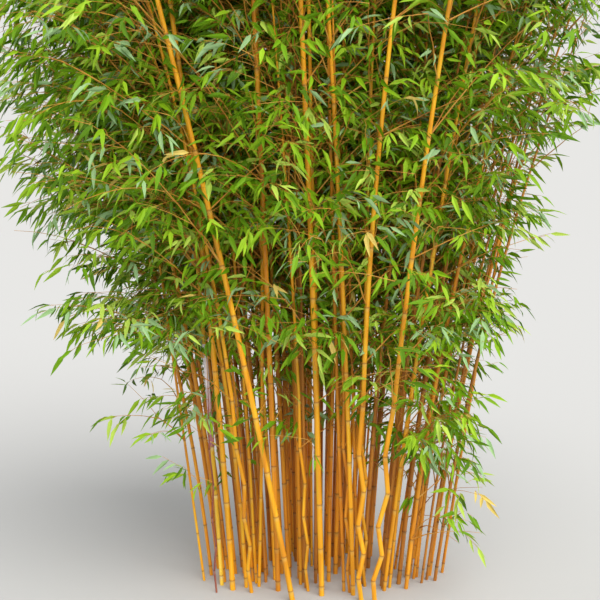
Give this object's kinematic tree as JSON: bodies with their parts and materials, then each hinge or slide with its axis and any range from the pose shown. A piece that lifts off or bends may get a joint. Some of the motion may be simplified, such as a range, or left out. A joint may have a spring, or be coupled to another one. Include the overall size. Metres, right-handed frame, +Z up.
{
  "type": "golden bamboo clump",
  "caption": "Rooted clump of golden-caned bamboo: slender leaning canes fanning out of level ground into a vase-shaped crown of narrow green leaves.",
  "frame": {"origin": "middle of the flat cut under the main stem, at ground level", "axes": "+Z up along the height, +X to the right and +Y to the back as seen from the front"},
  "size_m": [2.8032, 2.4683, 4.4289],
  "materials": {
    "cane": "smooth waxy golden-yellow culm, paler bloom under each node, thin brown node scars",
    "leaf": "thin satin green leaf blade on fine orange-brown twigs"
  },
  "bodies": {
    "root": {"crooked_cane": "cane", "foliage_low_1": "leaf", "foliage_low_2": "leaf", "foliage_low_3": "leaf", "foliage_low_4": "leaf", "foliage_low_5": "leaf", "foliage_low_6": "leaf", "foliage_middle_1": "leaf", "foliage_middle_2": "leaf", "foliage_middle_3": "leaf", "foliage_middle_4": "leaf", "foliage_middle_5": "leaf", "foliage_middle_6": "leaf", "foliage_top_1": "leaf", "foliage_top_2": "leaf", "foliage_top_3": "leaf", "foliage_top_4": "leaf", "foliage_top_5": "leaf", "foliage_top_6": "leaf", "foliage_upper_1": "leaf", "foliage_upper_2": "leaf", "foliage_upper_3": "leaf", "foliage_upper_4": "leaf", "foliage_upper_5": "leaf", "foliage_upper_6": "leaf", "inner_brown_cane": "cane", "inner_crooked_cane": "cane", "inner_left_cane": "cane", "inner_short_cane": "cane", "inner_slim_cane": "cane", "inner_twin_cane": "cane", "leaning_cane": "cane", "left_bowed_cane": "cane", "left_crooked_cane": "cane", "left_outer_cane": "cane", "left_slim_cane": "cane", "left_thick_cane": "cane", "left_whip": "cane", "left_young_cane": "cane", "main_stem": "cane", "middle_right_cane": "cane", "middle_slim_cane": "cane", "rear_cane_1": "cane", "rear_cane_10": "cane", "rear_cane_11": "cane", "rear_cane_2": "cane", "rear_cane_3": "cane", "rear_cane_4": "cane", "rear_cane_5": "cane", "rear_cane_6": "cane", "rear_cane_7": "cane", "rear_cane_8": "cane", "rear_cane_9": "cane", "rear_left_cane": "cane", "rear_right_cane": "cane", "right_bowed_cane": "cane", "right_cane": "cane", "right_outer_cane": "cane", "right_slim_cane": "cane"}
  },
  "joints": []
}
